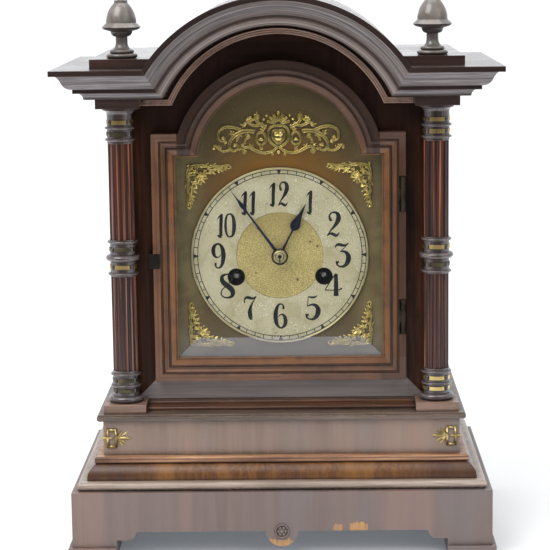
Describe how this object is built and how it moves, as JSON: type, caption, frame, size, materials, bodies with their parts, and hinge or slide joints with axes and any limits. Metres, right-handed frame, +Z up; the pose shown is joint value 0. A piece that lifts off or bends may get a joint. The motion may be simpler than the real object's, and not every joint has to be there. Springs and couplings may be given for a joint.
{
  "type": "mantel clock",
  "caption": "Break-arch wooden mantel clock with half columns, urn finials, an opening glazed door, moving hands, a pendulum movement and an opening back.",
  "frame": {"origin": "centre of the bounding box's footprint, on the surface that the clock stands on", "axes": "+Z up, -Y out of the dial towards the viewer, +X to the viewer's right"},
  "size_m": [0.3416, 0.2176, 0.438],
  "materials": {
    "case_wood": "satin dark red-brown polish",
    "moulding_wood": "glossy dark red-brown polish, worn",
    "veneer": "faded straight-grained veneer, satin",
    "turned_wood": "glossy dark turned wood",
    "finial_wood": "worn grey-brown turned wood",
    "inner_wood": "plain wood",
    "gilt_brass": "cast and gilt",
    "dial_brass": "aged, matted",
    "clock_brass": "brushed",
    "bronzed": "dark bronzed",
    "silvered": "silvered, matt",
    "blued_steel": "blued",
    "steel": "plain",
    "iron": "black",
    "glass": "clear, bevelled"
  },
  "bodies": {
    "case": {"foot_pads": "veneer", "front_apron": "veneer", "side_aprons": "veneer", "apron_rosette": "turned_wood", "torus_board": "moulding_wood", "cushion_moulding": "moulding_wood", "cushion_fillet": "moulding_wood", "pedestal_walls": "veneer", "pedestal_cap": "moulding_wood", "pedestal_mounts": "gilt_brass", "front_frame": "case_wood", "case_sides": "case_wood", "sill_moulding": "moulding_wood", "column_plinths": "moulding_wood", "column_bases": "turned_wood", "column_shafts": "turned_wood", "column_collars": "turned_wood", "column_capitals": "turned_wood", "frieze_blocks": "moulding_wood", "cornice_arch": "moulding_wood", "cornice_wings": "moulding_wood", "frieze_bead": "moulding_wood", "arch_roof": "case_wood", "finial_boards": "moulding_wood", "finials": "finial_wood", "case_hinge_leaves": "bronzed", "door_catch": "bronzed", "dial_plate": "dial_brass", "chapter_ring": "silvered", "centre_disc": "dial_brass", "corner_spandrels": "gilt_brass", "dial_crest": "gilt_brass", "movement_plates": "clock_brass", "movement_seat": "inner_wood", "gong": "steel", "gong_post": "iron", "back_frame": "inner_wood"},
    "door": {"door_frame": "moulding_wood", "door_glass": "glass", "glass_beads": "inner_wood", "door_hinge_leaves": "bronzed"},
    "rear_door": {"rear_door": "inner_wood", "rear_door_fittings": "clock_brass"},
    "minute_hand": {"minute_hand": "blued_steel", "hand_nut": "clock_brass", "cannon_pinion": "steel"},
    "hour_hand": {"hour_hand": "blued_steel", "hour_wheel": "clock_brass"},
    "minute_wheel": {"minute_wheel": "clock_brass"},
    "escape_wheel": {"escape_wheel": "clock_brass"},
    "third_wheel": {"third_wheel": "clock_brass"},
    "centre_wheel": {"centre_wheel": "clock_brass"},
    "second_wheel": {"second_wheel": "clock_brass"},
    "going_barrel": {"going_barrel": "clock_brass"},
    "strike_barrel": {"strike_barrel": "clock_brass"},
    "going_winding_arbor": {"going_winding_arbor": "steel"},
    "strike_winding_arbor": {"strike_winding_arbor": "steel"},
    "pallet_anchor": {"pallet_anchor": "steel"},
    "pendulum": {"pendulum": "clock_brass"},
    "strike_hammer": {"strike_hammer": "steel"}
  },
  "joints": [
    {"name": "door_hinge", "type": "hinge", "parent": "case", "child": "door", "pos_m": [0.0969, -0.05855, 0.2289], "axis": [0, 0, 1], "range_deg": [0, 110]},
    {"name": "rear_door_hinge", "type": "hinge", "parent": "case", "child": "rear_door", "pos_m": [-0.08625, 0.10605, 0.2352], "axis": [0, 0, 1], "range_deg": [0, 110]},
    {"name": "minute_hand_turn", "type": "hinge", "parent": "case", "child": "minute_hand", "pos_m": [0, -0.041, 0.2278], "axis": [0, 1, 0], "continuous": true},
    {"name": "hour_hand_turn", "type": "hinge", "parent": "case", "child": "hour_hand", "pos_m": [0, -0.039, 0.2278], "axis": [0, 1, 0], "continuous": true},
    {"name": "minute_wheel_turn", "type": "hinge", "parent": "case", "child": "minute_wheel", "pos_m": [0, -0.027, 0.2138], "axis": [0, 1, 0], "continuous": true},
    {"name": "escape_wheel_turn", "type": "hinge", "parent": "case", "child": "escape_wheel", "pos_m": [0, -0.00435, 0.2638], "axis": [0, 1, 0], "continuous": true},
    {"name": "third_wheel_turn", "type": "hinge", "parent": "case", "child": "third_wheel", "pos_m": [-0.00808, -0.00435, 0.24907], "axis": [0, 1, 0], "continuous": true},
    {"name": "centre_wheel_turn", "type": "hinge", "parent": "case", "child": "centre_wheel", "pos_m": [0, -0.00435, 0.2278], "axis": [0, 1, 0], "continuous": true},
    {"name": "second_wheel_turn", "type": "hinge", "parent": "case", "child": "second_wheel", "pos_m": [0.02033, -0.00435, 0.23878], "axis": [0, 1, 0], "continuous": true},
    {"name": "going_barrel_turn", "type": "hinge", "parent": "case", "child": "going_barrel", "pos_m": [0.0348, -0.00435, 0.2108], "axis": [0, 1, 0], "continuous": true},
    {"name": "strike_barrel_turn", "type": "hinge", "parent": "case", "child": "strike_barrel", "pos_m": [-0.0348, -0.00435, 0.2108], "axis": [0, 1, 0], "continuous": true},
    {"name": "going_winding_arbor_turn", "type": "hinge", "parent": "case", "child": "going_winding_arbor", "pos_m": [0.0348, -0.00435, 0.2108], "axis": [0, 1, 0], "continuous": true},
    {"name": "strike_winding_arbor_turn", "type": "hinge", "parent": "case", "child": "strike_winding_arbor", "pos_m": [-0.0348, -0.00435, 0.2108], "axis": [0, 1, 0], "continuous": true},
    {"name": "pallet_anchor_turn", "type": "hinge", "parent": "case", "child": "pallet_anchor", "pos_m": [0, -0.00435, 0.2788], "axis": [0, 1, 0], "range_deg": [-4, 4]},
    {"name": "pendulum_turn", "type": "hinge", "parent": "case", "child": "pendulum", "pos_m": [0, 0.02545, 0.2788], "axis": [0, 1, 0], "range_deg": [-4, 4]},
    {"name": "strike_hammer_turn", "type": "hinge", "parent": "case", "child": "strike_hammer", "pos_m": [-0.0484, -0.00435, 0.1818], "axis": [0, 1, 0], "range_deg": [0, 18]}
  ],
  "couplings": [
    {"joint": "hour_hand_turn", "follows": "minute_hand_turn", "ratio": 0.083333},
    {"joint": "minute_wheel_turn", "follows": "minute_hand_turn", "ratio": -0.33333},
    {"joint": "third_wheel_turn", "follows": "escape_wheel_turn", "ratio": -0.090909},
    {"joint": "centre_wheel_turn", "follows": "escape_wheel_turn", "ratio": 0.0075758},
    {"joint": "second_wheel_turn", "follows": "escape_wheel_turn", "ratio": -0.0012626},
    {"joint": "going_barrel_turn", "follows": "escape_wheel_turn", "ratio": 0.00015783},
    {"joint": "pallet_anchor_turn", "follows": "pendulum_turn", "ratio": 1}
  ]
}
